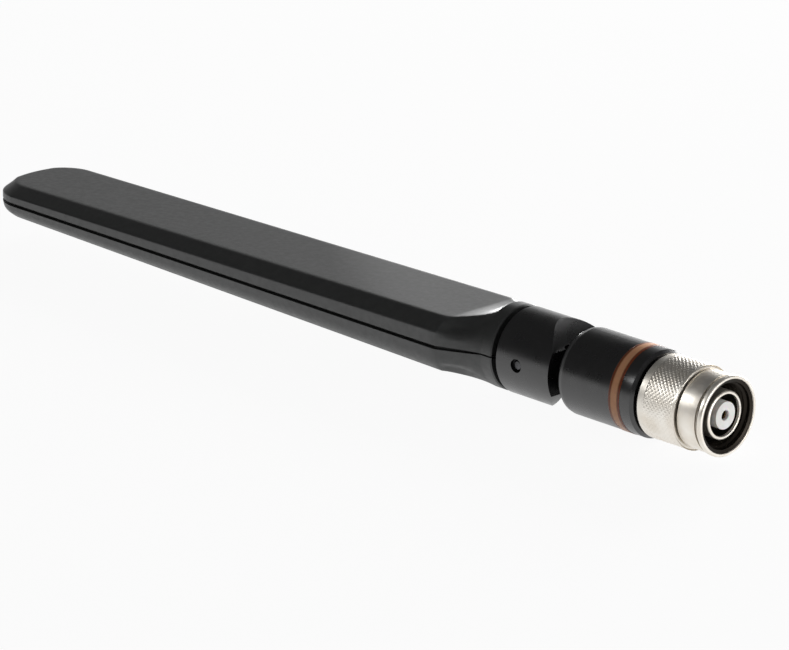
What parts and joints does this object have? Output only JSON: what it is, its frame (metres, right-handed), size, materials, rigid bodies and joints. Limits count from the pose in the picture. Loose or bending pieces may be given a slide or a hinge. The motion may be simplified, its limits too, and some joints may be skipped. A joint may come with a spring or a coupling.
{
  "type": "articulated wifi antenna",
  "caption": "Flat black blade antenna with a folding, swivelling base and a coaxial plug whose knurled nickel-plated coupling nut spins freely.",
  "frame": {"origin": "centre of the coupling nut's open mouth, on the plug's axis", "axes": "+X along the plug's axis, out of the mouth; +Z square to the blade's flat face, away from its back; the blade runs to -X"},
  "size_m": [0.1684, 0.021, 0.0148],
  "materials": {
    "shell_black": "fine matte grain",
    "hinge_black": "satin moulded",
    "pin_steel": "turned",
    "spring_bronze": "rolled spring strip",
    "band_orange": "satin",
    "rubber_black": "moulded",
    "nickel": "nickel plated, turned and knurled",
    "insulator_white": "waxy",
    "contact_gold": "gold plated",
    "board_green": "solder mask",
    "copper_foil": "bare foil",
    "solder": "bright solder",
    "foam_grey": "closed-cell foam",
    "lead_brown": "clear brown jacket"
  },
  "bodies": {
    "connector": {"connector_body": "nickel", "insulator": "insulator_white", "centre_contact": "contact_gold", "crimp_ferrule": "nickel", "nut_snap_ring": "spring_bronze", "face_gasket": "rubber_black", "swivel_clip": "spring_bronze", "swivel_seal": "rubber_black"},
    "nut": {"coupling_nut": "nickel"},
    "base": {"swivel_barrel": "hinge_black", "colour_band": "band_orange", "coax_lead": "lead_brown"},
    "blade": {"hinge_fork": "hinge_black", "hinge_pins": "pin_steel", "friction_washers": "spring_bronze", "upper_shell": "shell_black", "lower_shell": "shell_black", "circuit_board": "board_green", "front_copper": "copper_foil", "back_copper": "copper_foil", "feed_solder": "solder", "foam_pad": "foam_grey"}
  },
  "joints": [
    {"name": "nut_spin", "type": "hinge", "parent": "connector", "child": "nut", "pos_m": [0, 0, 0], "axis": [1, 0, 0], "continuous": true},
    {"name": "base_swivel", "type": "hinge", "parent": "connector", "child": "base", "pos_m": [0, 0, 0], "axis": [1, 0, 0], "continuous": true},
    {"name": "blade_fold", "type": "hinge", "parent": "base", "child": "blade", "pos_m": [-0.0393, 0, 0], "axis": [0, -1, 0], "range_deg": [0, 90], "deforming": ["coax_lead"]}
  ]
}
